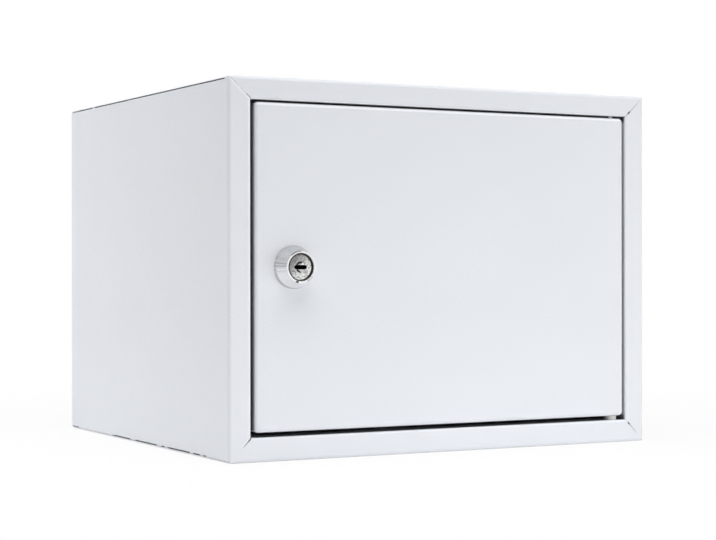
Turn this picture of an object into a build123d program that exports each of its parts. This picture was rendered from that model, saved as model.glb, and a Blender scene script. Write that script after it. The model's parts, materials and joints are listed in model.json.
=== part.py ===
from build123d import *
import os

# A small sheet-steel safe. X points right, Y into the safe, Z up.
# The origin is the middle of the underside. All sizes are in millimetres.

# Case
case_width = 330.0
case_height = 250.0
case_depth = 300.0
case_sheet = 1.5            # thickness of the five case sheets
case_bend = 2.5             # outer radius of the folds in the case
lip_bend = 1.7              # outer radius of the sharper folds round the door
case_corner = 3.0           # radius of its four long outer edges
stile_width = 16.0          # left and right members of the front frame
top_rail_width = 15.0
bottom_rail_width = 16.0
mitre_seam = 0.3            # open seam between two mitred frame members
sheet_seam = 0.15           # hairline between two sheets that meet at an edge
stop_height = 8.0           # how far the left door stop stands into the opening
lap_width = 11.0            # weld flanges of the side sheets
lap_setback = 4.0           # from the front face to those flanges
back_flange = 12.0          # weld flanges of the back pan
back_corner = 3.0           # radius of its corners, seen from behind

# Fixing holes
anchor_hole = 8.5           # diameter
back_hole_span_x = 230.0
back_hole_span_z = 150.0
floor_hole_span = 230.0

# Door
door_sheet = 1.5
door_depth = 14.0           # depth of the folded pan
door_bend = 2.8             # outer radius of its front edges
door_corner = 3.0           # radius of its corners, seen from the front
door_lock_gap = 3.0
door_hinge_gap = 2.0
door_top_gap = 1.3
door_bottom_gap = 3.0
door_stop_gap = 0.5         # between the pan's rim and the door stop
corner_slit = 0.6           # open seam between two flanges of a pan
stiffener_width = 44.0      # over its weld feet
stiffener_crown = 20.0
stiffener_height = 9.0
stiffener_sheet = 1.2
stiffener_bend = 2.0
stiffener_end_gap = 6.0     # from the pan's top and bottom flanges
stiffener_offset = 10.0     # from the middle of the door towards the hinge

# Hinge
hinge_inset_x = 7.5         # pin axis from the door's hinged edge
hinge_inset_y = 6.0         # pin axis behind the front face
pin_diameter = 4.0
pin_clearance = 0.05        # radial, in the door's holes, which turn on the pins
pin_seat = 0.02             # radial, in the frame's holes, the washer and the clip
pin_rise = 4.0              # how far a pin stands past the door's flange
pin_head = 7.5              # diameter
pin_head_thick = 2.0
rivet_head_thick = 1.2
pin_chamfer = 0.5
washer_diameter = 9.0
washer_play = 0.1           # between the washer and the door
clip_diameter = 7.8
clip_thick = 0.8
clip_play = 0.2             # between the clip and the door
clip_slots = 6

# Lock, from its front to its back
lock_inset = 27.5           # lock axis from the door's left edge
collar_base = 28.3          # diameter
collar_front = 20.6         # diameter
collar_length = 11.5        # how far the collar stands off the door
collar_foot = 0.9           # straight edge of the collar at the door
flange_diameter = 18.6      # front flange of the housing
flange_thick = 2.9
flange_setback = 0.3        # flange behind the collar's front
rim_notch_width = 1.2
rim_notch_depth = 0.4
rim_notch_angles = (105.0, 252.0, 302.0)
housing_diameter = 16.0
housing_flats = 14.0
seat_clearance = 0.1        # radial, between the housing and what sits on it
plug_diameter = 12.0
face_diameter = 16.5        # face disc of the plug
face_thick = 1.2
face_setback = 0.8          # face disc behind the flange's rim
face_play = 0.05            # behind the face disc
turn_clearance = 0.05       # radial, between the plug and the housing
keyway_width = 9.1
keyway_height = 2.8
keyway_depth = 20.0
keyway_lead = 6.0           # diameter of the round lead-in
keyway_lead_depth = 0.5
wafer_count = 4
wafer_pitch = 2.6
wafer_thick = 1.0
wafer_height = 6.8
wafer_play = 0.05           # round a wafer in its slot
wafer_rim = 1.2             # metal of a wafer at each end of its window
wafer_window_height = 3.4
first_wafer = 5.0           # from the back of the face disc
broach_depth = 0.95         # grooves in the housing for the wafers' ends
nut_across_flats = 22.0
nut_thick = 4.0
nut_face = 21.5             # diameter of the flat that its corner chamfers leave
nut_chamfer = 1.0           # depth of those chamfers at the corners
tooth_washer_diameter = 23.0
tooth_washer_thick = 0.8
tooth_count = 12
tooth_depth = 1.4
cam_clearance = 0.8         # between the door stop and the cam
cam_thick = 2.0
cam_width = 15.0
cam_reach = 31.0            # from the lock axis to the tip
cam_corner = 3.0
cam_hub = 17.0              # diameter
stop_washer_thick = 1.4
stop_washer_play = 0.1
lug_height = 1.0
lug_inner = 12.6            # diameter
lug_outer = 15.2            # diameter
lug_end_clearance = 2.0     # degrees, at each end of the quarter turn
tail_square = 6.0
tail_clearance = 0.05       # each side
tail_setback = 0.2          # tail below the cam's face, so that the screw clamps the cam
screw_diameter = 4.0
screw_length = 8.0
screw_head = 9.5            # diameter
screw_head_thick = 2.4
screw_cross = 5.0           # length of the cross recess
screw_cross_width = 1.2
screw_cross_depth = 1.4
spring_washer_diameter = 10.5
spring_washer_thick = 1.1
spring_washer_slit = 0.8
spring_washer_turn = 30.0   # degrees

cut_margin = 1.0            # how far a cut runs past the faces it opens

# Faces and axes that several pieces share
front = -case_depth / 2
back = case_depth / 2
frame_inner_x = case_width / 2 - stile_width
frame_top = case_height - top_rail_width
frame_bottom = bottom_rail_width
stop_front = front + door_depth + door_stop_gap
stop_back = stop_front + case_sheet
door_left = door_lock_gap - frame_inner_x
door_right = frame_inner_x - door_hinge_gap
door_middle = (door_left + door_right) / 2
door_bottom = frame_bottom + door_bottom_gap
door_top = frame_top - door_top_gap
door_inside = front + door_sheet
hinge_x = door_right - hinge_inset_x
hinge_y = front + hinge_inset_y
lock_x = door_left + lock_inset
lock_z = (door_bottom + door_top) / 2
collar_face = front - collar_length
flange_front = collar_face + flange_setback
flange_back = flange_front + flange_thick
face_front = flange_front + face_setback
face_back = face_front + face_thick
tooth_washer_back = door_inside + tooth_washer_thick
cam_front = stop_back + cam_clearance
cam_back = cam_front + cam_thick
stop_washer_front = cam_front - stop_washer_thick
housing_back = stop_washer_front - stop_washer_play
spring_washer_back = cam_back + spring_washer_thick


def along_x(sketch, start, end):
    """Solid of a sketch drawn in (Y, Z)."""
    return extrude(Plane((start, 0, 0), x_dir=(0, 1, 0), z_dir=(1, 0, 0)) * sketch, amount=end - start)


def along_y(sketch, start, end):
    """Solid of a sketch drawn in (X, Z)."""
    return extrude(Plane((0, end, 0), x_dir=(1, 0, 0), z_dir=(0, -1, 0)) * sketch, amount=end - start)


def along_z(sketch, start, end):
    """Solid of a sketch drawn in (X, Y)."""
    return extrude(Plane((0, 0, start)) * sketch, amount=end - start)


def at_lock(sketch, start, end):
    """Solid of a sketch drawn round the lock's axis."""
    return along_y(Pos(lock_x, lock_z) * sketch, start, end)


def at_hinge(sketch, start, end):
    """Solid of a sketch drawn round the hinge's axis."""
    return along_z(Pos(hinge_x, hinge_y) * sketch, start, end)


def block(low, high):
    """Box from its lowest corner to its highest."""
    size = [b - a for a, b in zip(low, high)]
    return Pos(*low) * Box(*size, align=(Align.MIN, Align.MIN, Align.MIN))


def polygon(*points):
    return make_face(Polyline(*points, close=True))


def turned(*points):
    """Solid turned round the lock's axis from an outline of (radius, Y) points."""
    return Pos(lock_x, 0, lock_z) * revolve(polygon(*points), Axis.Y)


def folded(path, sheet, bends):
    """Section of a folded sheet with one outer radius for each fold. The metal lies left of the path."""
    steps = [Vector(*b) - Vector(*a) for a, b in zip(path, path[1:])]
    lefts = [Vector(-step.Y, step.X).normalized() for step in steps]
    offsets = [lefts[0]] + [a + b for a, b in zip(lefts, lefts[1:])] + [lefts[-1]]
    other = [Vector(*point) + offset * sheet for point, offset in zip(path, offsets)]
    turns_left = [a.X * b.Y - a.Y * b.X > 0 for a, b in zip(steps, steps[1:])]
    sides = list(zip(bends, turns_left))
    near = FilletPolyline(*path, radius=[bend if left else bend - sheet for bend, left in sides])
    far = FilletPolyline(*other, radius=[bend - sheet if left else bend for bend, left in sides])
    return make_face([*near.edges(), *far.edges(), Line(near @ 0, far @ 0), Line(near @ 1, far @ 1)])


def mitre_tool(rail_width, for_stile):
    """What the right stile or the top rail loses at their corner, so that they meet in a mitre."""
    reach = 3 * stile_width
    run = Vector(-stile_width, -rail_width)
    towards_rail = Vector(-rail_width, stile_width).normalized()
    towards_waste = towards_rail if for_stile else -towards_rail
    corner = Vector(case_width / 2, case_height) - towards_waste * (mitre_seam / 2)
    outer, inner = corner - run, corner + run * 2
    waste = polygon(outer, inner, inner + towards_waste * reach, outer + towards_waste * reach)
    lip_room = 2 * case_sheet
    if for_stile:
        lips = Pos(frame_inner_x + lip_room - reach, case_height) * Rectangle(2 * reach, 4 * reach)
    else:
        lips = Pos(case_width / 2, case_height - rail_width + lip_room - reach) * Rectangle(
            4 * reach, 2 * reach)
    folds = along_y(waste, front - case_sheet, front + case_bend)
    return folds + along_y(waste & lips, front + case_bend, stop_back + case_sheet)


def flipped(shape):
    """The shape turned upside down about the case's middle height."""
    return mirror(shape, about=Plane((0, 0, case_height / 2), z_dir=(0, 0, 1)))


def swapped(shape):
    """The shape mirrored left to right."""
    return mirror(shape, about=Plane.YZ)


def make_side(with_stop):
    """Side sheet on the right: wall, stile, return lip and, if asked for, a door stop."""
    wall_x = case_width / 2
    low, high = case_sheet + sheet_seam, case_height - case_sheet - sheet_seam
    lap_start, lap_end = front + lap_setback, back - back_flange - 2 * case_sheet
    lip_end = stop_front if with_stop else stop_back
    path = [(-wall_x, lap_start), (-wall_x, front), (-frame_inner_x, front), (-frame_inner_x, lip_end)]
    bends = [case_bend, lip_bend]
    if with_stop:
        path.append((stop_height - frame_inner_x, stop_front))
        bends.append(case_bend)
    side = swapped(along_z(folded(path, case_sheet, bends), low, high))
    side -= mitre_tool(top_rail_width, True)
    side -= flipped(mitre_tool(bottom_rail_width, True))
    bottom, top = case_sheet, case_height - case_sheet
    lap_x = wall_x - lap_width
    laps = [(lap_x, bottom), (wall_x, bottom), (wall_x, top), (lap_x, top)]
    side += along_y(folded(laps, case_sheet, [case_bend] * 2), lap_start, lap_end)
    return side + block((wall_x - case_sheet, lap_end, low), (wall_x, back, high))


def make_rail_sheet(rail_width):
    """Top sheet: wall, front rail and return lip with a pin hole."""
    half = case_width / 2
    inner = case_height - rail_width
    path = [(back, case_height), (front, case_height), (front, inner), (stop_back, inner)]
    sheet = along_x(folded(path, case_sheet, [case_bend, lip_bend]), -half, half)
    tool = mitre_tool(rail_width, False)
    sheet -= tool
    sheet -= swapped(tool)
    return sheet - at_hinge(Circle(pin_diameter / 2 + pin_seat), inner - case_sheet, inner + 2 * case_sheet)


def make_pan(width, height, depth, sheet, bend, corner):
    """Folded pan with its front on Y = 0 and its middle on the Y axis, open to the back."""
    outer = along_y(RectangleRounded(width, height, corner), 0, depth)
    outer = fillet(outer.faces().sort_by(Axis.Y)[0].edges(), bend)
    inner = along_y(Rectangle(width - 2 * sheet, height - 2 * sheet), sheet, depth + sheet)
    inner = fillet(inner.faces().sort_by(Axis.Y)[0].edges(), bend - sheet)
    slit = along_y(Rectangle(4 * corner, corner_slit), 2 * bend, depth + sheet)
    slits = [Pos(x * width / 2, 0, z * height / 2) * Rot(0, -45 * x * z, 0) * slit
             for x in (-1, 1) for z in (-1, 1)]
    return outer - inner - slits


def make_back():
    """Back pan: the wall, four weld flanges that reach forward, and the wall holes."""
    margin = 2 * (case_sheet + sheet_seam)
    pan = make_pan(case_width - margin, case_height - margin, back_flange + case_sheet, case_sheet,
                   case_bend, back_corner)
    pan = Pos(0, back, case_height / 2) * Rot(0, 0, 180) * pan
    holes = Sketch() + GridLocations(back_hole_span_x, back_hole_span_z, 2, 2) * Circle(anchor_hole / 2)
    return pan - along_y(Pos(0, case_height / 2) * holes, back - 2 * case_sheet, back + case_sheet)


def make_bottom():
    """Floor sheet: like the top sheet, upside down, with two floor holes."""
    holes = Sketch() + GridLocations(floor_hole_span, 0, 2, 1) * Circle(anchor_hole / 2)
    return flipped(make_rail_sheet(bottom_rail_width)) - along_z(holes, -case_sheet, 2 * case_sheet)


def rounded_off(sheet):
    """A case sheet, trimmed to the rounded outline that the case has from the front."""
    outline = Pos(0, case_height / 2) * RectangleRounded(case_width, case_height, case_corner)
    return sheet & along_y(outline, front, back)


def make_lower_pin():
    """Pin riveted in the bottom lip, with a chamfered end above the door's flange."""
    low, top = frame_bottom - case_sheet, door_bottom + door_sheet + pin_rise
    pin = at_hinge(Circle(pin_diameter / 2), low, top)
    pin = chamfer(pin.edges().sort_by(Axis.Z)[-1], pin_chamfer)
    return pin + at_hinge(Circle(pin_head / 2), low - rivet_head_thick, low)


def make_lower_washer():
    ring = Circle(washer_diameter / 2) - Circle(pin_diameter / 2 + pin_seat)
    return at_hinge(ring, frame_bottom, door_bottom - washer_play)


def make_upper_pin():
    """Headed pin that drops through the top lip and the door's flange."""
    low, top = door_top - door_sheet - pin_rise, frame_top + case_sheet
    pin = at_hinge(Circle(pin_diameter / 2), low, top)
    pin = chamfer(pin.edges().sort_by(Axis.Z)[0], pin_chamfer)
    return pin + at_hinge(Circle(pin_head / 2), top, top + pin_head_thick)


def make_upper_clip():
    """Push-on clip under the door's flange, slotted round its bore."""
    top = door_top - door_sheet - clip_play
    ring = Circle(clip_diameter / 2) - Circle(pin_diameter / 2 + pin_seat)
    slots = PolarLocations(pin_diameter / 2, clip_slots) * Rectangle(pin_diameter / 3, pin_diameter / 8)
    return at_hinge(ring - slots, top - clip_thick, top)


def double_d(diameter, flats):
    """Round section with a flat above and below."""
    return Circle(diameter / 2) & Rectangle(2 * diameter, flats)


def make_door():
    """Door pan with the punched lock hole and the two pin holes."""
    pan = make_pan(door_right - door_left, door_top - door_bottom, door_depth, door_sheet, door_bend,
                   door_corner)
    pan = Pos(door_middle, front, lock_z) * pan
    margin = 2 * seat_clearance
    pan -= at_lock(double_d(housing_diameter + margin, housing_flats + margin), front - door_sheet,
                   front + 2 * door_sheet)
    pin_hole = Circle(pin_diameter / 2 + pin_clearance)
    pan -= at_hinge(pin_hole, door_bottom - door_sheet, door_bottom + 2 * door_sheet)
    return pan - at_hinge(pin_hole, door_top - 2 * door_sheet, door_top + door_sheet)


def make_stiffener():
    """Upright hat section, welded by its feet to the inside of the door."""
    foot, crown = stiffener_width / 2, stiffener_crown / 2
    crown_y = door_inside + stiffener_height - stiffener_sheet
    path = [(-foot, door_inside), (-crown, door_inside), (-crown, crown_y), (crown, crown_y),
            (crown, door_inside), (foot, door_inside)]
    hat = Pos(door_middle + stiffener_offset, 0) * folded(path, stiffener_sheet, [stiffener_bend] * 4)
    end_gap = door_sheet + stiffener_end_gap
    return along_z(hat, door_bottom + end_gap, door_top - end_gap)


def make_collar():
    """Conical collar round the lock's head, with a seat for the housing's flange."""
    bore = housing_diameter / 2 + seat_clearance
    seat = flange_diameter / 2 + seat_clearance
    base, tip = collar_base / 2, collar_front / 2
    return turned((bore, front), (base, front), (base, front - collar_foot),
                  (tip, collar_face), (seat, collar_face), (seat, flange_back), (bore, flange_back))


def make_housing():
    """Lock housing: front flange, barrel with flats, grooves for the wafers and a rear stop lug."""
    housing = at_lock(Circle(flange_diameter / 2), flange_front, flange_back)
    housing += at_lock(double_d(housing_diameter, housing_flats), flange_back, housing_back)
    far = Vector(lug_outer, 0)
    quarter = polygon((0, 0), far.rotate(Axis.Z, -lug_end_clearance), far.rotate(Axis.Z, -45) * 2,
                      far.rotate(Axis.Z, lug_end_clearance - 90))
    lug = (Circle(lug_outer / 2) - Circle(lug_inner / 2)) & quarter & double_d(lug_outer, housing_flats)
    housing += at_lock(lug, housing_back - lug_height, housing_back + lug_height)
    housing -= at_lock(Circle(face_diameter / 2 + seat_clearance), collar_face, face_back + face_play)
    housing -= at_lock(Circle(plug_diameter / 2 + turn_clearance), flange_front, cam_front)
    groove = Rectangle(plug_diameter + 2 * broach_depth, wafer_height + 4 * wafer_play)
    housing -= at_lock(groove, wafer_starts()[0] - wafer_play, cam_front)
    notch = Pos(flange_diameter / 2, 0) * Rectangle(2 * rim_notch_width, rim_notch_width)
    notches = Sketch() + [Rot(0, 0, angle) * notch for angle in rim_notch_angles]
    return housing - at_lock(notches, collar_face, flange_front + rim_notch_depth)


def make_tooth_washer():
    """Lock washer with teeth round its rim."""
    ring = Circle(tooth_washer_diameter / 2) - Circle(housing_diameter / 2 + seat_clearance)
    notch = polygon((-tooth_depth, 0), (tooth_depth, tooth_depth), (tooth_depth, -tooth_depth))
    notches = PolarLocations(tooth_washer_diameter / 2, tooth_count) * notch
    return at_lock(ring - notches, door_inside, tooth_washer_back)


def make_nut():
    """Hexagon nut, chamfered on its outer corners."""
    start, end = tooth_washer_back, tooth_washer_back + nut_thick
    nut = at_lock(RegularPolygon(nut_across_flats / 2, 6, major_radius=False), start, end)
    past_corners = 0.6 * nut_across_flats
    nut &= turned((0, start), (past_corners, start), (past_corners, end - nut_chamfer),
                  (nut_face / 2, end), (0, end))
    bore = Circle(housing_diameter / 2 + seat_clearance)
    return nut - at_lock(bore, start - cut_margin, end + cut_margin)


def wafer_starts():
    return [face_back + first_wafer + index * wafer_pitch for index in range(wafer_count)]


def make_plug():
    """Plug: face disc, round body with keyway and wafer slots, square tail with a screw hole."""
    tail_back = cam_back - tail_setback
    plug = at_lock(Circle(face_diameter / 2), face_front, face_back)
    plug += at_lock(Circle(plug_diameter / 2), face_back, stop_washer_front)
    plug += at_lock(Rectangle(tail_square, tail_square), stop_washer_front, tail_back)
    plug -= at_lock(SlotOverall(keyway_width, keyway_height), collar_face, face_front + keyway_depth)
    plug -= at_lock(Circle(keyway_lead / 2), collar_face, face_front + keyway_lead_depth)
    slot = Rectangle(2 * plug_diameter, wafer_height + 2 * wafer_play)
    for start in wafer_starts():
        plug -= at_lock(slot, start - wafer_play, start + wafer_thick + wafer_play)
    screw_end = spring_washer_back - screw_length
    return plug - at_lock(Circle(screw_diameter / 2 + pin_seat), screw_end - tail_setback, cam_back)


def make_wafers():
    """Wafers drawn in by the key, flush with the plug."""
    blank = Circle(plug_diameter / 2) & Rectangle(2 * plug_diameter, wafer_height)
    wafer = blank - Rectangle(plug_diameter - 2 * wafer_rim, wafer_window_height)
    return Compound(children=[at_lock(wafer, start, start + wafer_thick) for start in wafer_starts()])


def square_hole():
    side = tail_square + 2 * tail_clearance
    return Rectangle(side, side)


def make_stop_washer():
    """Washer with a half-round step, in which the housing's lug leaves it a quarter turn."""
    step = Circle(lug_outer) - Circle(lug_inner / 2 - seat_clearance)
    step &= Pos(0, -lug_outer) * Rectangle(4 * lug_outer, 2 * lug_outer)
    washer = Circle(lug_outer / 2) - step - square_hole()
    return at_lock(washer, stop_washer_front, cam_front)


def make_cam():
    """Flat cam, drawn unlocked and upright. Turned a quarter, it goes behind the left door stop."""
    blade = Pos(0, cam_reach / 2) * RectangleRounded(cam_width, cam_reach, cam_corner)
    return at_lock(blade + Circle(cam_hub / 2) - square_hole(), cam_front, cam_back)


def make_spring_washer():
    ring = Circle(spring_washer_diameter / 2) - Circle(screw_diameter / 2 + seat_clearance)
    slit = Pos(0, spring_washer_diameter / 2) * Rectangle(spring_washer_slit, spring_washer_diameter)
    return at_lock(ring - Rot(0, 0, spring_washer_turn) * slit, cam_back, spring_washer_back)


def make_screw():
    """Cam screw with a flat head and a cross recess."""
    head_back = spring_washer_back + screw_head_thick
    head = at_lock(Circle(screw_head / 2), spring_washer_back, head_back)
    cross = Rectangle(screw_cross, screw_cross_width) + Rectangle(screw_cross_width, screw_cross)
    head -= at_lock(cross, head_back - screw_cross_depth, head_back + cut_margin)
    return head + at_lock(Circle(screw_diameter / 2), spring_washer_back - screw_length, spring_washer_back)


parts = {
    "case_left_side": rounded_off(swapped(make_side(with_stop=True))),
    "case_right_side": rounded_off(make_side(with_stop=False)),
    "case_top": rounded_off(make_rail_sheet(top_rail_width)),
    "case_bottom": rounded_off(make_bottom()),
    "case_back": make_back(),
    "lower_hinge_pin": make_lower_pin(),
    "lower_hinge_washer": make_lower_washer(),
    "upper_hinge_pin": make_upper_pin(),
    "upper_hinge_clip": make_upper_clip(),
    "door_panel": make_door(),
    "door_stiffener": make_stiffener(),
    "lock_collar": make_collar(),
    "lock_housing": make_housing(),
    "lock_tooth_washer": make_tooth_washer(),
    "lock_nut": make_nut(),
    "lock_plug": make_plug(),
    "lock_wafers": make_wafers(),
    "lock_stop_washer": make_stop_washer(),
    "lock_cam": make_cam(),
    "cam_spring_washer": make_spring_washer(),
    "cam_screw": make_screw(),
}

os.makedirs("parts", exist_ok=True)
for name, shape in parts.items():
    export_step(shape, f"parts/{name}.step")
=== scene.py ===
"""A small home safe on a pale studio floor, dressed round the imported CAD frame."""

import json
import math

import bpy
from mathutils import Matrix, Vector


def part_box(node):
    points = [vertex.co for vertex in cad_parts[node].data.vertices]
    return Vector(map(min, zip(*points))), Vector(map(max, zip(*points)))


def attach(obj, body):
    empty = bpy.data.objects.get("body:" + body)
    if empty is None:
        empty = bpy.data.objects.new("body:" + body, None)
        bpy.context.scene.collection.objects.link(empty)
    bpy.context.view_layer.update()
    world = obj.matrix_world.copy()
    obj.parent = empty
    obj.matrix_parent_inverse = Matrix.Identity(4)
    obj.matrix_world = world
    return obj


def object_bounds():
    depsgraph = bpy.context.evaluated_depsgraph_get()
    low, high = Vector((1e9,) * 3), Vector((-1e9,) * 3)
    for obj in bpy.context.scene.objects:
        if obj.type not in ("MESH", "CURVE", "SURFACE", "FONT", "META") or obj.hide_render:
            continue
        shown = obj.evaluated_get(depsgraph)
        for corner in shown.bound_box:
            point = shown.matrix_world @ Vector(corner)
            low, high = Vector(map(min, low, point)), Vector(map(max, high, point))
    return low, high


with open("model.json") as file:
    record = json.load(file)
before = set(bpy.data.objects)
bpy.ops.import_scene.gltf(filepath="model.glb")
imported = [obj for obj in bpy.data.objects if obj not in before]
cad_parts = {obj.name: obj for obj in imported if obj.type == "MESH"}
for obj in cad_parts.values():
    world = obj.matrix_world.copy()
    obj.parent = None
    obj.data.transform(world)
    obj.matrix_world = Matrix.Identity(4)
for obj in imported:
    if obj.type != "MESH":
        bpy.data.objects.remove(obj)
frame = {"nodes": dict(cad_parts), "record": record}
cad_low, cad_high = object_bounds()
nodes = frame["nodes"]
slot_of = {part["node"]: part["material_slot"] for part in frame["record"]["subparts"]}
MM = 0.001
LEFT, RIGHT = -1, 1
BOTTOM, TOP = -1, 1

# The photograph's camera: place in metres, angles in radians, and the focal length in pixels
IMAGE_WIDTH = 716
FOCAL_PIXELS = 1801.5
CAMERA_PLACE = (-0.6390, -1.2058, 0.1259)
CAMERA_YAW = 0.4938
CAMERA_PITCH = -0.0012
CAMERA_ROLL = -0.0010
CAMERA_CLIP = 0.05

# Stage, with sizes and distances in metres
FILL_COLOR = (0.97, 0.98, 1.0)
FILL_STRENGTH = 0.02
FLOOR_RADIUS = 6.0
FLOOR_SIDES = 96
FLOOR_DROP = 0.0002
FLOOR_LIFT_NEAR = 0.90      # share of plain white that the camera sees close to the safe
FLOOR_WHITE_FROM = 0.28     # distance from the middle at which that share starts to grow
FLOOR_WHITE_AT = 0.62       # distance at which the camera sees plain white

# Softboxes: place, target, width and height in metres, power in watts, and spread in degrees
SOFTBOXES = {
    "top_softbox": dict(
        place=(-0.3, -0.5, 1.8), target=(0, -0.2, 0), width=2.0, height=2.0, power=36.6),
    "floor_softbox": dict(
        place=(0, -0.2, 2.2), target=(0, -0.2, 0), width=2.6, height=2.6, power=2.6, spread=60),
    "front_low_softbox": dict(
        place=(0.5, -1.0, 0.12), target=(0.05, -0.15, 0.04), width=1.2, height=0.2, power=3.1),
    "front_edge_softbox": dict(
        place=(0.1, -0.62, 0.03), target=(0.05, -0.15, 0.0), width=0.8, height=0.04, power=0.32),
    "left_rear_low_softbox": dict(
        place=(-0.9, 0.55, 0.14), target=(-0.165, 0.12, 0.06), width=1.0, height=0.22, power=1.4),
    "left_rear_softbox": dict(
        place=(-1.0, 0.75, 0.35), target=(-0.165, 0.1, 0.12), width=0.9, height=0.6, power=3.0),
}

# Colours, as linear red, green and blue
PAINT = (0.795, 0.818, 0.858)
CHROME = (0.92, 0.925, 0.935)
NICKEL = (0.62, 0.62, 0.61)
# The plug's face is darker than the housing: painted shade for the dimmer surroundings that its face
# reflects
DIMMED_NICKEL = (0.52, 0.52, 0.52)
ZINC = (0.62, 0.63, 0.66)
SPRING_STEEL = (0.12, 0.12, 0.13)
BRASS = (0.55, 0.38, 0.17)
NYLON = (0.60, 0.60, 0.585)
FLOOR = (0.86, 0.86, 0.86)

# Sizes of the sheet metal, repeated from the drawing
CASE_SHEET = 1.5 * MM
CASE_BEND = 2.5 * MM        # outer radius of the case's folds
CASE_CORNER = 3.0 * MM      # radius of its four long outer edges
LIP_BEND = 1.7 * MM         # outer radius of the folds round the door
STILE = 16.0 * MM
TOP_RAIL = 15.0 * MM
BOTTOM_RAIL = 16.0 * MM

# Sizes of the lock, repeated from the drawing
COLLAR_FRONT = 10.3 * MM    # radius
COLLAR_BASE = 14.15 * MM    # radius
COLLAR_EDGE = 0.3 * MM      # roundness of its edges, which the drawing leaves sharp
FLANGE_RADIUS = 9.3 * MM
KEYWAY_WIDE = 9.1 * MM
KEYWAY_HIGH = 2.8 * MM
LEAD_IN_RADIUS = 3.0 * MM

# Sizes of the fills in the case's seams
MITRE_FILL_WIDTH = 0.36 * MM
WELD_BEAD_WIDTH = 0.6 * MM
WELD_BEAD_OFFSET = -0.35 * MM           # from the seam, where less than 0 is towards the stile
FOLD_SHARES = (0.02, 0.04, 0.07, 0.11)  # stations of a mitre fill on the fold, as shares of the seam
THINNEST_FILL = 0.1 * MM
SEAM_FILL_DEPTH = 3.7 * MM              # from the case's top or bottom face to the fill's far edge
OUTER_DEPTH = 2.5 * MM                  # from that face to a corner of the fill's outer outline
INNER_DEPTH = 2.6 * MM                  # and to a corner of its inner outline
OUTER_SETBACK = 0.06 * MM               # how far the fill lies behind the case's rounded edge
INNER_OVERLAP = 0.1 * MM                # how far it reaches into the side sheet's fold
OPEN_GAP = 0.75 * MM                    # between the top or bottom sheet and the fill
CLOSED_GAP = 0.02 * MM
RUN_SLOPE = 0.4 * MM                    # length over which a seam opens or closes

# Where the long seams are open: y of the back and front end of each run, in mm
TOP_RUNS = [(148, 103), (99.5, -144)]
BOTTOM_RUNS = [(60, 24), (15, -27), (-35, -41), (-46, -86), (-91, -103), (-108, -113)]

# Places read off the frame
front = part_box("case_left_side")[0].y
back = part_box("case_left_side")[1].y
half_width = cad_high.x
height = cad_high.z
opening_x = half_width - STILE
opening_top = height - TOP_RAIL
plug_low, plug_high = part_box("lock_plug")
lock_centre = (plug_low + plug_high) / 2


def shade(color, factor):
    """The colour, made lighter or darker by a factor."""
    return tuple(channel * factor for channel in color)


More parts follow.
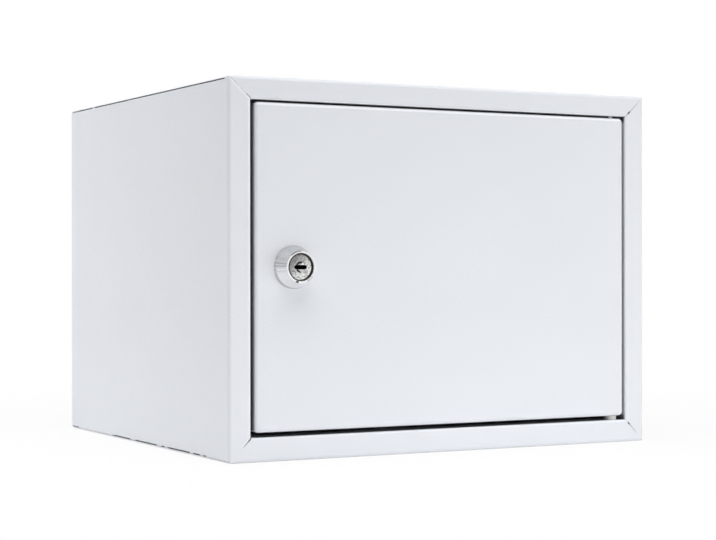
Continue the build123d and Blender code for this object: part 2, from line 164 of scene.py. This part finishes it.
class Material:
    """A Principled material with short calls for its nodes."""

    def __init__(self, name, color, roughness, metallic=0.0):
        self.material = bpy.data.materials.new(name)
        self.material.use_nodes = True
        self.tree = self.material.node_tree
        self.shader = self.tree.nodes["Principled BSDF"]
        self.set("Base Color", (*color, 1.0))
        self.set("Roughness", roughness)
        self.set("Metallic", metallic)
        self.place = self.node("ShaderNodeTexCoord").outputs["Object"]
        self.x, self.y, self.z = self.node("ShaderNodeSeparateXYZ", {"Vector": self.place}).outputs

    def set(self, socket, value):
        self.shader.inputs[socket].default_value = value

    def link(self, output, socket):
        self.tree.links.new(output, self.shader.inputs[socket])

    def fill(self, socket, value):
        """Links an output to the socket, or writes a plain value on it."""
        if isinstance(value, bpy.types.NodeSocket):
            self.tree.links.new(value, socket)
        else:
            socket.default_value = value

    def node(self, kind, inputs=None, **settings):
        """A new node, with values or links on its inputs, and settings as its attributes."""
        node = self.tree.nodes.new(kind)
        for name, value in settings.items():
            setattr(node, name, value)
        for name, value in (inputs or {}).items():
            self.fill(node.inputs[name], value)
        return node

    def math(self, operation, a, b=0.0):
        return self.node("ShaderNodeMath", {0: a, 1: b}, operation=operation).outputs[0]

    def noise(self, size, detail=2.0, stretch=(1, 1, 1)):
        """Noise between 0 and 1 with features of about that size in metres."""
        place = self.node("ShaderNodeMapping", {"Vector": self.place, "Scale": stretch}).outputs[0]
        noise = self.node("ShaderNodeTexNoise", {"Vector": place, "Scale": 1 / size,
                                                 "Detail": detail, "Roughness": 0.55})
        return noise.outputs["Fac"]

    def ramp(self, value, low, high, start=0.3, end=0.7):
        """The value, mapped from the range start..end to low..high."""
        return self.node("ShaderNodeMapRange", {"Value": value, "From Min": start, "From Max": end,
                                                "To Min": low, "To Max": high}).outputs[0]

    def rising(self, value, start, end):
        """A mask that is 0 up to start and grows to 1 at end."""
        return self.ramp(value, 0.0, 1.0, start, end)

    def falling(self, value, start, end):
        """A mask that is 1 up to start and drops to 0 at end."""
        return self.ramp(value, 1.0, 0.0, start, end)

    def within(self, value, low, high, soft):
        """A mask that is 1 between low and high, and 0 where the value is more than soft outside."""
        return self.all_of(self.rising(value, low - soft, low), self.falling(value, high, high + soft))

    def all_of(self, *masks):
        product = masks[0]
        for mask in masks[1:]:
            product = self.math("MULTIPLY", product, mask)
        return product

    def any_of(self, *masks):
        greatest = masks[0]
        for mask in masks[1:]:
            greatest = self.math("MAXIMUM", greatest, mask)
        return greatest

    def mixed(self, factor, a, b):
        """Colour between a and b."""
        node = self.node("ShaderNodeMix", data_type="RGBA")
        sockets = {socket.identifier: socket for socket in node.inputs}
        self.fill(sockets["Factor_Float"], factor)
        for name, color in (("A_Color", a), ("B_Color", b)):
            self.fill(sockets[name], (*color, 1.0) if isinstance(color, tuple) else color)
        return next(socket for socket in node.outputs if socket.identifier == "Result_Color")

    def toned(self, tone, color, marks):
        """The tone, covered with a share of the colour in each mark. A mark is a mask and its share."""
        for mask, share in marks:
            tone = self.mixed(mask, tone, shade(color, share))
        return tone

    def bump(self, height, distance, strength):
        """Bump from heights of 0 to 1 that stand for 0 to distance metres, added to earlier bumps."""
        earlier = self.shader.inputs["Normal"].links
        inputs = {"Height": height, "Distance": distance, "Strength": strength}
        if earlier:
            inputs["Normal"] = earlier[0].from_socket
        self.link(self.node("ShaderNodeBump", inputs).outputs[0], "Normal")

    def round_axis(self, centre):
        """Distance from the axis along Y through a centre, and the angle round it in turns.

        Seen from the front, 0 turns is at the right, 0.25 at the top and -0.25 at the bottom."""
        offset = self.node("ShaderNodeVectorMath", {0: self.place, 1: tuple(centre)},
                           operation="SUBTRACT").outputs[0]
        flat = self.node("ShaderNodeVectorMath", {0: offset, 1: (1, 0, 1)},
                         operation="MULTIPLY").outputs[0]
        radius = self.node("ShaderNodeVectorMath", {0: flat}, operation="LENGTH").outputs["Value"]
        x, _, z = self.node("ShaderNodeSeparateXYZ", {"Vector": flat}).outputs
        turns = self.math("DIVIDE", self.math("ARCTAN2", z, x), 2 * math.pi)
        return radius, turns


# Powder coat


def powder_coat(name, marks, color=PAINT):
    """White powder coat: a fine orange-peel texture under a satin gloss.

    Painted light makes it a little lighter towards the floor, and painted shade makes it darker towards
    the safe's top."""
    coat = Material(name, color, 0.45)
    cloudy = coat.ramp(coat.noise(90 * MM), 0.0, 1.0)
    grainy = coat.ramp(coat.noise(1.2 * MM), 0.0, 0.5, 0.35, 0.65)
    # Painted light and shade: lighter towards the floor, darker towards the top
    low = coat.ramp(coat.z, 0.0, 0.7, 100 * MM, 0.0)
    high = coat.ramp(coat.z, 0.0, 0.6, 120 * MM, height)
    tone = coat.mixed(cloudy, shade(color, 0.985), shade(color, 1.01))
    tone = coat.toned(tone, color, [(grainy, 0.93), (low, 1.08), (high, 0.94)] + marks(coat))
    coat.link(tone, "Base Color")
    coat.link(coat.ramp(coat.noise(12 * MM, detail=3.0), 0.38, 0.5), "Roughness")
    coat.bump(coat.noise(1.6 * MM, detail=1.0), 0.03 * MM, 0.6)
    coat.bump(coat.noise(7 * MM, detail=1.0), 0.06 * MM, 0.35)
    coat.set("Specular IOR Level", 0.45)
    return coat.material


def mitre(coat, side, end, along, apart, fade=0.03):
    """A stretch of a mitred seam, on the front of the case.

    Both ranges are shares of the seam: along it from the outer corner, and apart from its middle
    line, where less than 0 lies on the stile and more than 0 on the rail."""
    rail = TOP_RAIL if end == TOP else BOTTOM_RAIL
    from_side = coat.math("SUBTRACT", half_width, coat.math("MULTIPLY", coat.x, side))
    from_end = coat.math("SUBTRACT", height, coat.z) if end == TOP else coat.z
    in_stile = coat.math("DIVIDE", from_side, STILE)
    in_rail = coat.math("DIVIDE", from_end, rail)
    share = coat.math("MULTIPLY", coat.math("ADD", in_stile, in_rail), 0.5)
    offset = coat.math("SUBTRACT", in_stile, in_rail)
    soft = 0.02
    return coat.all_of(coat.within(offset, *apart, soft), coat.within(share, *along, fade),
                       coat.falling(coat.y, front + 1.2 * MM, front + 1.7 * MM))


def mitre_marks(coat):
    """Painted shade in the pinholes and lines of the mitred seams, and painted highlights on the edges
    of their welds.
    """
    return [
        (mitre(coat, LEFT, TOP, along=(0.05, 0.97), apart=(-0.10, -0.01)), 1.14),
        (mitre(coat, LEFT, TOP, along=(0.80, 0.97), apart=(0.01, 0.05)), 0.50),
        (mitre(coat, RIGHT, TOP, along=(0.38, 0.86), apart=(-0.03, 0.02), fade=0.2), 0.68),
        (mitre(coat, RIGHT, TOP, along=(0.77, 0.83), apart=(-0.05, 0.04)), 0.12),
        (mitre(coat, RIGHT, BOTTOM, along=(0.48, 0.85), apart=(-0.02, 0.03), fade=0.15), 0.76),
        (mitre(coat, RIGHT, BOTTOM, along=(0.79, 0.85), apart=(-0.04, 0.04)), 0.15),
        (mitre(coat, LEFT, BOTTOM, along=(0.64, 1.0), apart=(-0.12, -0.04), fade=0.05), 1.14),
        (mitre(coat, LEFT, BOTTOM, along=(0.72, 1.0), apart=(-0.02, 0.03), fade=0.12), 0.62),
        (mitre(coat, LEFT, BOTTOM, along=(0.90, 1.0), apart=(-0.03, 0.04), fade=0.05), 0.30),
    ]


def long_groove_shade(coat):
    """Mask for painted shade in the grooves along the case's long edges, where a side meets the top or
    bottom sheet.
    """
    sheet_face = CASE_SHEET - 0.05 * MM
    fold_face = 2.2 * MM
    soft = 0.3 * MM
    on_edge = coat.rising(coat.math("ABSOLUTE", coat.x), half_width - 3.2 * MM, half_width - 2.6 * MM)
    lower = coat.within(coat.z, sheet_face, fold_face, soft)
    upper = coat.within(coat.z, height - fold_face, height - sheet_face, soft)
    clear_of_ends = coat.within(coat.y, front + 5.0 * MM, back - 1.5 * MM, 0.5 * MM)
    return coat.all_of(on_edge, coat.any_of(lower, upper), clear_of_ends)


def case_marks(coat):
    """Shade on the lips round the door and in the grooves, and light on the lips' bends."""
    margin = 0.4 * MM
    soft = 0.2 * MM
    across = coat.within(coat.x, -opening_x - margin, opening_x + margin, soft)
    upright = coat.within(coat.z, BOTTOM_RAIL - margin, opening_top + margin, soft)
    lips = coat.all_of(across, upright,
                       coat.rising(coat.y, front + 0.8 * MM, front + 3.0 * MM),
                       coat.falling(coat.y, front + 12 * MM, front + 16 * MM))
    right_lip = coat.rising(coat.x, opening_x - 0.6 * MM, opening_x - 0.3 * MM)
    upper_lip = coat.rising(coat.z, opening_top - 0.8 * MM, opening_top - 0.3 * MM)
    past_hinge = coat.rising(coat.x, opening_x - 8 * MM, opening_x - 6 * MM)
    in_corner = coat.any_of(coat.falling(coat.z, BOTTOM_RAIL + 2.5 * MM, BOTTOM_RAIL + 5 * MM),
                            coat.rising(coat.z, opening_top - 5 * MM, opening_top - 2.5 * MM))
    bend_soft = 0.3 * MM
    at_front = coat.falling(coat.y, front + LIP_BEND, front + 2.0 * MM)
    left_bend = coat.within(coat.x, -opening_x - 1.5 * MM, -opening_x + 0.1 * MM, bend_soft)
    lower_bend = coat.within(coat.z, BOTTOM_RAIL - 1.3 * MM, BOTTOM_RAIL + 0.1 * MM, bend_soft)
    marks = [
        (coat.all_of(left_bend, upright, at_front), 1.16),
        (coat.all_of(lower_bend, across, at_front), 1.10),
        (lips, 0.55),
        (coat.all_of(lips, right_lip), 0.85),
        (coat.all_of(lips, upper_lip), 0.3),
        (coat.all_of(lips, past_hinge, in_corner), 0.2),
        (long_groove_shade(coat), 0.25),
    ]
    return marks + mitre_marks(coat)


def door_marks(coat):
    """Shade on the outer faces of the door's flanges, and light on two of its front bends."""
    low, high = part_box("door_panel")
    edge = 0.5 * MM
    soft = 0.2 * MM
    inner = coat.all_of(coat.within(coat.x, low.x + edge, high.x - edge, soft),
                        coat.within(coat.z, low.z + edge, high.z - edge, soft))
    flanges = coat.all_of(coat.math("SUBTRACT", 1.0, inner),
                          coat.falling(coat.y, front + 11 * MM, front + 14 * MM))
    behind_bend = coat.rising(coat.y, front + 1.0 * MM, front + 3.2 * MM)
    deeper = coat.rising(coat.y, front + 3.0 * MM, front + 5.5 * MM)
    top_bend = coat.rising(coat.z, high.z - 2.6 * MM, high.z - 1.8 * MM)
    right_bend = coat.rising(coat.x, high.x - 2.4 * MM, high.x - 1.6 * MM)
    at_front = coat.falling(coat.y, front + 2.6 * MM, front + 3.2 * MM)
    return [
        (coat.all_of(coat.any_of(top_bend, right_bend), at_front), 1.14),
        (coat.all_of(flanges, behind_bend), 0.45),
        (coat.all_of(flanges, deeper), 0.20),
    ]


def no_marks(coat):
    """For a coat without recesses."""
    return []


# Plated and plain metal, and nylon


def over_keyway(surface, wide, high, soft):
    """A mask over a rectangle round the lock's axis, of that width and height."""
    return surface.all_of(
        surface.within(surface.x, lock_centre.x - wide / 2, lock_centre.x + wide / 2, soft),
        surface.within(surface.z, lock_centre.z - high / 2, lock_centre.z + high / 2, soft))


def chrome_plate(name):
    """Bright plate on the collar, with painted shade on its upper flank and a painted shadow round its
    base.

    Polishing marks, partly painted reflection, and two lines of painted reflection run down its left
    flank; its front rim is darker in two arcs, and a painted shadow of a nick lies on its inner rim."""
    plate = Material(name, CHROME, 0.1, 0.9)
    radius, turns = plate.round_axis(lock_centre)
    streaks = plate.node("ShaderNodeTexNoise", {"W": plate.math("ADD", turns, 1.0), "Scale": 34.0,
                                                "Detail": 3.0}, noise_dimensions="1D").outputs["Fac"]
    flank = plate.rising(radius, COLLAR_FRONT - 0.1 * MM, COLLAR_FRONT + 0.3 * MM)
    foot_shadow = plate.rising(radius, COLLAR_BASE - 0.75 * MM, COLLAR_BASE - 0.25 * MM)
    rim = plate.within(radius, COLLAR_FRONT - 0.2 * MM, COLLAR_FRONT + 0.3 * MM, 0.2 * MM)
    inner_rim = plate.within(radius, FLANGE_RADIUS - 0.1 * MM, COLLAR_FRONT + 0.1 * MM, 0.2 * MM)
    upper = plate.within(turns, 0.16, 0.46, 0.06)
    left = plate.any_of(plate.within(turns, 0.36, 0.5, 0.04), plate.within(turns, -0.5, -0.46, 0.02))
    lines = plate.any_of(plate.within(turns, 0.466, 0.472, 0.004),
                         plate.within(turns, 0.488, 0.494, 0.004))
    darker_rim_arcs = plate.any_of(plate.within(turns, 0.26, 0.36, 0.02), plate.within(turns, -0.17, -0.11, 0.02))
    notch_shadow = plate.within(turns, -0.310, -0.285, 0.006)
    specks = plate.rising(plate.noise(1.2 * MM), 0.5, 0.62)
    polish_and_reflection = plate.rising(streaks, 0.45, 0.62)
    # Painted shade on the upper flank and round the base, painted reflections in the streaks and the
    # two lines, the rim darker in two arcs, and a painted shadow of a nick on the inner rim
    marks = [
        (plate.all_of(flank, upper), 0.73),
        (plate.all_of(flank, upper, specks), 0.60),
        (foot_shadow, 0.62),
        (plate.all_of(flank, left, polish_and_reflection), 0.78),
        (plate.all_of(flank, lines), 0.55),
        (plate.all_of(rim, darker_rim_arcs), 0.35),
        (plate.all_of(inner_rim, notch_shadow), 0.12),
    ]
    plate.link(plate.toned(CHROME, CHROME, marks), "Base Color")
    scratches = plate.noise(0.4 * MM, detail=3.0, stretch=(1.0, 0.12, 1.0))
    duller_flank = plate.math("MULTIPLY", flank, 0.22)
    plate.link(plate.math("ADD", duller_flank, plate.ramp(scratches, 0.07, 0.16)), "Roughness")
    plate.bump(scratches, 0.004 * MM, 0.4)
    return plate.material


def nickel_plate(name, color, recesses):
    """Duller plate on die-cast metal: turning rings round the lock's axis, small pits, and painted
    shade and glint in its recesses.

    Painted shade darkens the upper left of the lock's face and a painted highlight lightens its lower
    right."""
    plate = Material(name, color, 0.28, 1.0)
    radius, turns = plate.round_axis(lock_centre)
    ring_pitch = 0.5 * MM
    rings = plate.math("SINE", plate.math("MULTIPLY", radius, 2 * math.pi / ring_pitch))
    pits = plate.noise(1.0 * MM, detail=3.0)
    right = plate.math("SUBTRACT", plate.x, lock_centre.x)
    up = plate.math("SUBTRACT", plate.z, lock_centre.z)
    # Painted light and shade: darker to the upper left, lighter to the lower right
    painted_light_lower_right = plate.rising(plate.math("SUBTRACT", right, up), -9 * MM, 9 * MM)
    pitted = plate.ramp(pits, 0.7, 0.0, 0.40, 0.54)
    tone = plate.mixed(painted_light_lower_right, shade(color, 0.56), shade(color, 1.8))
    tone = plate.toned(tone, color, [(pitted, 0.30)] + recesses(plate, radius, turns))
    plate.link(tone, "Base Color")
    plate.link(plate.ramp(pits, 0.25, 0.45), "Roughness")
    plate.bump(plate.ramp(rings, 0.0, 1.0, -1.0, 1.0), 0.01 * MM, 0.5)
    plate.bump(pits, 0.08 * MM, 0.6)
    return plate.material


def plug_shade_and_glint(plate, radius, turns):
    """Painted shade on the rim of the face disc, on edges of the round lead-in and inside the keyway,
    and a painted glint in the lead-in.
    """
    rim_centre = lock_centre + Vector((-0.55 * MM, 0, 0.1 * MM))
    from_rim_centre, _ = plate.round_axis(rim_centre)
    rim = plate.rising(from_rim_centre, 7.95 * MM, 8.4 * MM)
    lead_in = plate.within(radius, LEAD_IN_RADIUS - 0.5 * MM, LEAD_IN_RADIUS + 0.5 * MM, 0.25 * MM)
    left = plate.within(turns, 0.20, 0.5, 0.02)
    below = plate.within(turns, -0.40, -0.27, 0.02)
    glint = plate.all_of(plate.within(radius, 1.7 * MM, LEAD_IN_RADIUS, 0.3 * MM),
                         plate.within(turns, 0.03, 0.17, 0.03))
    keyway = over_keyway(plate, KEYWAY_WIDE + 0.3 * MM, KEYWAY_HIGH + 0.04 * MM, 0.1 * MM)
    deep = plate.rising(plate.y, plug_low.y + 0.25 * MM, plug_low.y + 0.6 * MM)
    return [
        (glint, 1.8),
        (rim, 0.16),
        (plate.all_of(lead_in, plate.any_of(left, below)), 0.04),
        (plate.all_of(keyway, deep), 0.05),
    ]


def housing_shade(plate, radius, turns):
    """Painted shade on the wall round the face disc and on the inner edge of the flange."""
    return [(plate.falling(radius, FLANGE_RADIUS - 0.4 * MM, FLANGE_RADIUS - 0.1 * MM), 0.05)]


def zinc_plate(name, color=ZINC, roughness=0.32):
    """Bright zinc on steel, with a fine grain and faint blotches."""
    plate = Material(name, color, roughness, 1.0)
    grain = plate.noise(0.5 * MM, detail=3.0)
    blotches = plate.ramp(plate.noise(3 * MM), 0.0, 1.0)
    plate.link(plate.ramp(grain, roughness - 0.06, roughness + 0.1), "Roughness")
    plate.link(plate.mixed(blotches, shade(color, 0.88), color), "Base Color")
    plate.bump(grain, 0.01 * MM, 0.5)
    return plate.material


def brass_with_keyway_shade(name):
    """Punched brass, with painted shade where it shows through the keyway."""
    brass = Material(name, BRASS, 0.35, 1.0)
    keyway_shade = over_keyway(brass, 10 * MM, 3.6 * MM, 0.3 * MM)
    blotches = brass.ramp(brass.noise(1.5 * MM), 0.0, 1.0)
    tone = brass.mixed(blotches, shade(BRASS, 0.85), BRASS)
    brass.link(brass.toned(tone, BRASS, [(keyway_shade, 0.12)]), "Base Color")
    grain = brass.noise(0.4 * MM, detail=3.0)
    brass.link(brass.ramp(grain, 0.3, 0.45), "Roughness")
    brass.bump(grain, 0.01 * MM, 0.5)
    return brass.material


def nylon(name):
    """Off-white moulded nylon."""
    plastic = Material(name, NYLON, 0.5)
    plastic.link(plastic.mixed(plastic.noise(2 * MM), shade(NYLON, 0.94), NYLON), "Base Color")
    plastic.link(plastic.ramp(plastic.noise(0.8 * MM), 0.45, 0.6), "Roughness")
    plastic.bump(plastic.noise(0.5 * MM), 0.01 * MM, 0.4)
    return plastic.material


def round_edges(node, width):
    """Small rounded edges on a plated piece, which catch the light."""
    bevel = node.modifiers.new("rounded_edges", "BEVEL")
    bevel.width = width
    bevel.segments = 2
    bevel.limit_method = "ANGLE"
    bevel.angle_limit = math.radians(40)
    bevel.harden_normals = True


def dress_nodes():
    """Gives each CAD node the material of its slot, and the collar its rounded edges."""
    materials = {
        "case_paint": powder_coat("white_powder_coat_case", case_marks),
        "door_paint": powder_coat("white_powder_coat_door", door_marks),
        "collar_chrome": chrome_plate("bright_chrome"),
        "housing_nickel": nickel_plate("nickel_housing", NICKEL, housing_shade),
        "plug_nickel": nickel_plate("nickel_plug", DIMMED_NICKEL, plug_shade_and_glint),
        "wafer_brass": brass_with_keyway_shade("punched_brass"),
        "zinc_steel": zinc_plate("bright_zinc"),
        "pin_steel": zinc_plate("zinc_pin"),
        "spring_steel": zinc_plate("blued_steel", SPRING_STEEL, 0.4),
        "washer_nylon": nylon("white_nylon"),
    }
    for name, node in nodes.items():
        node.data.materials.clear()
        node.data.materials.append(materials[slot_of[name]])
    round_edges(nodes["lock_collar"], COLLAR_EDGE)
    return materials


# Fills in the case's seams


def make_piece(name, points, faces, material):
    """A mesh piece that rides on the case."""
    mesh = bpy.data.meshes.new(name)
    mesh.from_pydata([tuple(point) for point in points], [], faces)
    mesh.validate()
    mesh.materials.append(material)
    piece = bpy.data.objects.new(name, mesh)
    bpy.context.scene.collection.objects.link(piece)
    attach(piece, "case")


def tube_faces(stations, corners):
    """Faces of a closed tube: a ring of corners at each station, and a cap at each end."""
    faces = [(i * corners + j, i * corners + (j + 1) % corners,
              (i + 1) * corners + (j + 1) % corners, (i + 1) * corners + j)
             for i in range(stations - 1) for j in range(corners)]
    last = (stations - 1) * corners
    return faces + [tuple(reversed(range(corners))), tuple(last + j for j in range(corners))]


def bend_drop(distance, radius):
    """How far a folded edge falls back, at that distance in from its outer face."""
    short = max(radius - distance, 0.0)
    return radius - math.sqrt(radius ** 2 - short ** 2)


def make_mitre_fill(name, side, end, profile, material, width=MITRE_FILL_WIDTH, offset=0.0):
    """Weld and paint in a mitred seam. The profile pairs shares of the seam with depths."""
    rail = TOP_RAIL if end == TOP else BOTTOM_RAIL
    outer = Vector((side * half_width, 0, height if end == TOP else 0))
    inner = outer - Vector((side * STILE, 0, end * rail))
    along = (inner - outer).normalized()
    across = Vector((along.z, 0, -along.x)) * (side * end)
    corner_depth = profile[0][1]
    stations = [(share, corner_depth) for share in FOLD_SHARES] + profile
    points = []
    for share, depth in stations:
        centre = outer.lerp(inner, share) + across * offset
        drop = bend_drop(share * STILE, CASE_BEND) + bend_drop((1 - share) * STILE, LIP_BEND)
        top = front + drop + depth
        bottom = max(front + CASE_SHEET + drop, top + THINNEST_FILL)
        for y, way in ((top, -1), (top, 1), (bottom, 1), (bottom, -1)):
            x = centre.x + across.x * way * width / 2
            z = centre.z + across.z * way * width / 2
            points.append((max(-half_width, min(half_width, x)), y, max(0.0, min(height, z))))
    make_piece(name, points, tube_faces(len(stations), 4), material)


def edge_reach(depth):
    """How far the case's rounded long edge reaches sideways, at a depth from the top or bottom face."""
    short = max(CASE_CORNER - depth, 0)
    return half_width - CASE_CORNER + math.sqrt(CASE_CORNER ** 2 - short ** 2)


def fold_reach(depth):
    """How far the side sheet's fold, which lies under the top or bottom sheet, reaches there."""
    fold_centre = CASE_SHEET + CASE_BEND
    return half_width - CASE_BEND + math.sqrt(CASE_BEND ** 2 - (fold_centre - depth) ** 2)


def seam_stations(open_runs):
    """Stations of a seam fill from the back to the front: y, and the gap left over the fill."""
    start = back - 1.0 * MM
    finish = front + 4.5 * MM
    stations = [(start, CLOSED_GAP)]
    for run_back, run_front in open_runs:
        stations += [(run_back * MM, CLOSED_GAP), (run_back * MM - RUN_SLOPE, OPEN_GAP),
                     (run_front * MM + RUN_SLOPE, OPEN_GAP), (run_front * MM, CLOSED_GAP)]
    return stations + [(finish, CLOSED_GAP)]


def seam_ring(gap):
    """Outline of a seam fill at a station: reach sideways, and depth from the top or bottom face."""
    near = CASE_SHEET + gap
    outer = [(edge_reach(depth) - OUTER_SETBACK, depth)
             for depth in (near, OUTER_DEPTH, CASE_CORNER, SEAM_FILL_DEPTH)]
    inner = [(fold_reach(depth) - INNER_OVERLAP, depth)
             for depth in (SEAM_FILL_DEPTH, INNER_DEPTH, near)]
    return outer + inner


def make_seam_fill(name, side, end, open_runs, material):
    """Paint along the groove between a side and the top or bottom sheet, with open runs."""
    stations = seam_stations(open_runs)
    points = [(side * reach, y, height - depth if end == TOP else depth)
              for y, gap in stations for reach, depth in seam_ring(gap)]
    make_piece(name, points, tube_faces(len(stations), len(points) // len(stations)), material)


def make_mitre_fills(coat):
    """The four mitred corners. Each sinks where its weld leaves the seam open."""
    # The weld bead's coat is lighter than the case's, a painted highlight
    highlighted_bead = powder_coat("weld_bead_painted_highlight", no_marks, shade(PAINT, 1.12))
    make_mitre_fill("mitre_fill_top_left", LEFT, TOP,
                    [(0.16, -0.04 * MM), (0.5, -0.10 * MM), (0.93, -0.12 * MM), (0.97, 0.5 * MM)],
                    highlighted_bead, WELD_BEAD_WIDTH, WELD_BEAD_OFFSET)
    make_mitre_fill("mitre_fill_top_right", RIGHT, TOP,
                    [(0.16, -0.02 * MM), (0.45, 0.04 * MM), (0.74, 0.2 * MM), (0.77, 1.3 * MM),
                     (0.86, 1.3 * MM), (0.88, 0.08 * MM), (0.97, 0.08 * MM)], coat)
    make_mitre_fill("mitre_fill_bottom_left", LEFT, BOTTOM,
                    [(0.16, -0.02 * MM), (0.5, 0.0), (0.75, 0.25 * MM), (0.97, 1.3 * MM)], coat)
    make_mitre_fill("mitre_fill_bottom_right", RIGHT, BOTTOM,
                    [(0.16, -0.02 * MM), (0.4, 0.0), (0.66, 0.2 * MM), (0.68, 1.3 * MM),
                     (0.84, 1.3 * MM), (0.86, 0.08 * MM), (0.97, 0.08 * MM)], coat)


def make_seam_fills():
    """The four grooves along the case's long edges."""
    coat = powder_coat("white_powder_coat_seams", no_marks)
    for side, word in ((LEFT, "left"), (RIGHT, "right")):
        make_seam_fill(f"{word}_top_seam_fill", side, TOP, TOP_RUNS, coat)
        make_seam_fill(f"{word}_bottom_seam_fill", side, BOTTOM, BOTTOM_RUNS, coat)


# Studio


def visible_white(tree):
    """1 for what the camera, a mirror or glass sees, and 0 for the light itself."""
    path = tree.nodes.new("ShaderNodeLightPath")
    seen = path.outputs["Is Camera Ray"]
    for ray in ("Is Glossy Ray", "Is Transmission Ray"):
        either = tree.nodes.new("ShaderNodeMath")
        either.operation = "MAXIMUM"
        tree.links.new(seen, either.inputs[0])
        tree.links.new(path.outputs[ray], either.inputs[1])
        seen = either.outputs[0]
    return seen


def make_world():
    """Even studio light, seen as plain white."""
    world = bpy.data.worlds.new("studio")
    bpy.context.scene.world = world
    world.use_nodes = True
    tree = world.node_tree
    tree.nodes.clear()
    fill = tree.nodes.new("ShaderNodeBackground")
    fill.inputs["Color"].default_value = (*FILL_COLOR, 1.0)
    fill.inputs["Strength"].default_value = FILL_STRENGTH
    white = tree.nodes.new("ShaderNodeBackground")
    white.inputs["Color"].default_value = (1, 1, 1, 1)
    white.inputs["Strength"].default_value = 1.0
    mix = tree.nodes.new("ShaderNodeMixShader")
    output = tree.nodes.new("ShaderNodeOutputWorld")
    tree.links.new(visible_white(tree), mix.inputs[0])
    tree.links.new(fill.outputs[0], mix.inputs[1])
    tree.links.new(white.outputs[0], mix.inputs[2])
    tree.links.new(mix.outputs[0], output.inputs["Surface"])


def floor_material():
    """Pale floor. The camera sees it lifted towards white, which leaves the safe's soft shadow."""
    surface = Material("pale_floor", FLOOR, 0.7)
    surface.link(surface.mixed(surface.noise(4 * MM), shade(FLOOR, 0.985), FLOOR), "Base Color")
    distance = surface.node("ShaderNodeVectorMath", {0: surface.place}, operation="LENGTH")
    lift = surface.ramp(distance.outputs["Value"], FLOOR_LIFT_NEAR, 1.0,
                        FLOOR_WHITE_FROM, FLOOR_WHITE_AT)
    glow = surface.node("ShaderNodeEmission", {"Color": (1, 1, 1, 1), "Strength": 1.0})
    share = surface.math("MULTIPLY", visible_white(surface.tree), lift)
    mix = surface.node("ShaderNodeMixShader",
                       {0: share, 1: surface.shader.outputs[0], 2: glow.outputs[0]})
    surface.tree.links.new(mix.outputs[0], surface.tree.nodes["Material Output"].inputs["Surface"])
    return surface.material


def make_floor():
    """Round floor, just under the safe."""
    mesh = bpy.data.meshes.new("floor")
    turn = 2 * math.pi / FLOOR_SIDES
    ring = [(FLOOR_RADIUS * math.cos(turn * i), FLOOR_RADIUS * math.sin(turn * i), 0)
            for i in range(FLOOR_SIDES)]
    mesh.from_pydata(ring, [], [list(range(FLOOR_SIDES))])
    mesh.materials.append(floor_material())
    floor = bpy.data.objects.new("floor", mesh)
    floor.location.z = -FLOOR_DROP
    bpy.context.scene.collection.objects.link(floor)


def make_softbox(name, place, target, width, height, power, spread=180):
    """A rectangular lamp that lights the safe, but shows neither to the camera nor in the metal."""
    lamp = bpy.data.lights.new(name, "AREA")
    lamp.shape = "RECTANGLE"
    lamp.size = width
    lamp.size_y = height
    lamp.energy = power
    lamp.spread = math.radians(spread)
    softbox = bpy.data.objects.new(name, lamp)
    softbox.location = place
    aim = Vector(target) - Vector(place)
    softbox.rotation_euler = aim.to_track_quat("-Z", "Y").to_euler()
    softbox.visible_camera = False
    softbox.visible_glossy = False
    bpy.context.scene.collection.objects.link(softbox)


def make_camera():
    """The photograph's camera."""
    camera = bpy.data.objects.new("camera", bpy.data.cameras.new("camera"))
    camera.data.lens = camera.data.sensor_width * FOCAL_PIXELS / IMAGE_WIDTH
    camera.data.clip_start = CAMERA_CLIP
    turn = (Matrix.Rotation(-CAMERA_YAW, 4, "Z") @ Matrix.Rotation(math.pi / 2 + CAMERA_PITCH, 4, "X")
            @ Matrix.Rotation(CAMERA_ROLL, 4, "Z"))
    camera.matrix_world = Matrix.Translation(CAMERA_PLACE) @ turn
    bpy.context.scene.collection.objects.link(camera)
    bpy.context.scene.camera = camera


materials = dress_nodes()
make_mitre_fills(materials["case_paint"])
make_seam_fills()
make_world()
make_floor()
for name, settings in SOFTBOXES.items():
    make_softbox(name, **settings)
make_camera()
bpy.context.scene.view_settings.view_transform = "Standard"
